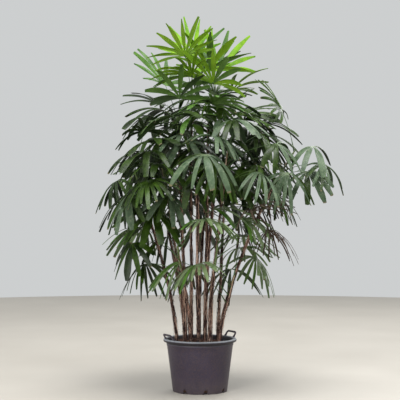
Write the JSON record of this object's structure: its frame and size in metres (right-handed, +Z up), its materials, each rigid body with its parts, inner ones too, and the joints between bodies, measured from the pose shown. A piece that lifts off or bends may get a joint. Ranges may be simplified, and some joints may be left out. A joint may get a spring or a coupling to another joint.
{
  "type": "potted lady palm",
  "caption": "Tall clump of slender fibre-covered canes with fans of strap-shaped leaflets, in a round tapered plant pot with two loop handles.",
  "frame": {"origin": "centre of the pot's flat underside, on the floor", "axes": "+Z up through the pot and the plant; -Y is the side that is seen, +X to its right"},
  "size_m": [1.7058, 1.5092, 2.6061],
  "materials": {
    "pot_plastic": "matt moulded, faintly streaked and dusty",
    "potting_mix": "rough moist peat and bark",
    "cane_fibre": "matt coarse fibre",
    "young_leaf": "soft gloss, pleated",
    "leaf": "soft gloss, pleated"
  },
  "bodies": {
    "root": {"cane_01": "cane_fibre", "cane_02": "cane_fibre", "cane_03": "cane_fibre", "cane_04": "cane_fibre", "cane_05": "cane_fibre", "cane_06": "cane_fibre", "cane_07": "cane_fibre", "cane_08": "cane_fibre", "cane_09": "cane_fibre", "cane_10": "cane_fibre", "cane_11": "cane_fibre", "cane_12": "cane_fibre", "cane_13": "cane_fibre", "cane_14": "cane_fibre", "cane_15": "cane_fibre", "fronds_01_a": "young_leaf", "fronds_01_b": "leaf", "fronds_02_a": "young_leaf", "fronds_02_b": "leaf", "fronds_03_a": "young_leaf", "fronds_03_b": "leaf", "fronds_04_a": "leaf", "fronds_04_b": "leaf", "fronds_04_c": "leaf", "fronds_05_a": "leaf", "fronds_05_b": "leaf", "fronds_05_c": "leaf", "fronds_06_a": "leaf", "fronds_06_b": "leaf", "fronds_07_a": "leaf", "fronds_07_b": "leaf", "fronds_08_a": "leaf", "fronds_08_b": "leaf", "fronds_09_a": "leaf", "fronds_09_b": "leaf", "fronds_09_c": "leaf", "fronds_10_a": "leaf", "fronds_10_b": "leaf", "fronds_10_c": "leaf", "fronds_11_a": "leaf", "fronds_12_a": "leaf", "fronds_13_a": "leaf", "fronds_13_b": "leaf", "fronds_14_a": "leaf", "fronds_14_b": "leaf", "fronds_15_a": "leaf", "fronds_15_b": "leaf", "handle_left": "pot_plastic", "handle_right": "pot_plastic", "pot": "pot_plastic", "soil": "potting_mix"}
  },
  "joints": []
}
